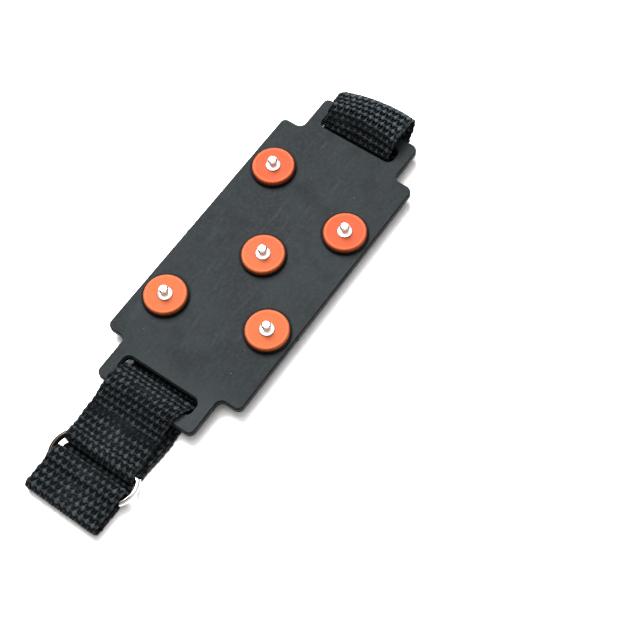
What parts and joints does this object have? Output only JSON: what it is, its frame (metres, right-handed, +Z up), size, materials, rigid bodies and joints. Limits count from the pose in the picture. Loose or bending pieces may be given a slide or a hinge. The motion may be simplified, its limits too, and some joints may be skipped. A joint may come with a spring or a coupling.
{
  "type": "ice cleat",
  "caption": "Mid-sole ice cleat: stepped rubber plate with steel studs on orange discs, slotted end tabs and a webbing strap with a sewn wire ring.",
  "frame": {"origin": "on the surface that the folded strap lies on, under the middle of the plate", "axes": "+X along the plate towards the plain strap loop, +Y across it towards the wide pair of studs, +Z up along the studs"},
  "size_m": [0.1924, 0.0602, 0.0139],
  "materials": {
    "rubber": "matte moulded, faint dust",
    "stud_disc": "satin orange",
    "stud_steel": "bright nickel",
    "webbing": "coarse woven nylon",
    "ring_wire": "polished nickel plate",
    "fastening_tape": "hook and loop pile"
  },
  "bodies": {
    "base": {"base_plate": "rubber", "disc_1": "stud_disc", "disc_2": "stud_disc", "disc_3": "stud_disc", "disc_4": "stud_disc", "disc_5": "stud_disc", "stud_1": "stud_steel", "stud_2": "stud_steel", "stud_3": "stud_steel", "stud_4": "stud_steel", "stud_5": "stud_steel", "washer_1": "stud_steel", "washer_2": "stud_steel", "washer_3": "stud_steel", "washer_4": "stud_steel", "washer_5": "stud_steel", "strap_anchor": "webbing", "strap_run": "webbing"},
    "plain_loop": {"strap_loop": "webbing"},
    "ring_strap": {"ring_strap": "webbing", "strap_return": "webbing"},
    "closure": {"ring": "ring_wire", "strap_end": "webbing", "hook_tape": "fastening_tape", "loop_tape": "fastening_tape"}
  },
  "joints": [
    {"name": "loop_tilt", "type": "hinge", "parent": "base", "child": "plain_loop", "pos_m": [0.0681, 0, 0.0052], "axis": [0, 1, 0], "range_deg": [-8, 15]},
    {"name": "ring_strap_swing", "type": "hinge", "parent": "base", "child": "ring_strap", "pos_m": [-0.0681, 0, 0.0052], "axis": [0, 1, 0], "range_deg": [-45, 75]},
    {"name": "closure_swing", "type": "hinge", "parent": "ring_strap", "child": "closure", "pos_m": [-0.093, 0, 0.0042], "axis": [0, 1, 0], "range_deg": [-60, 75]}
  ]
}
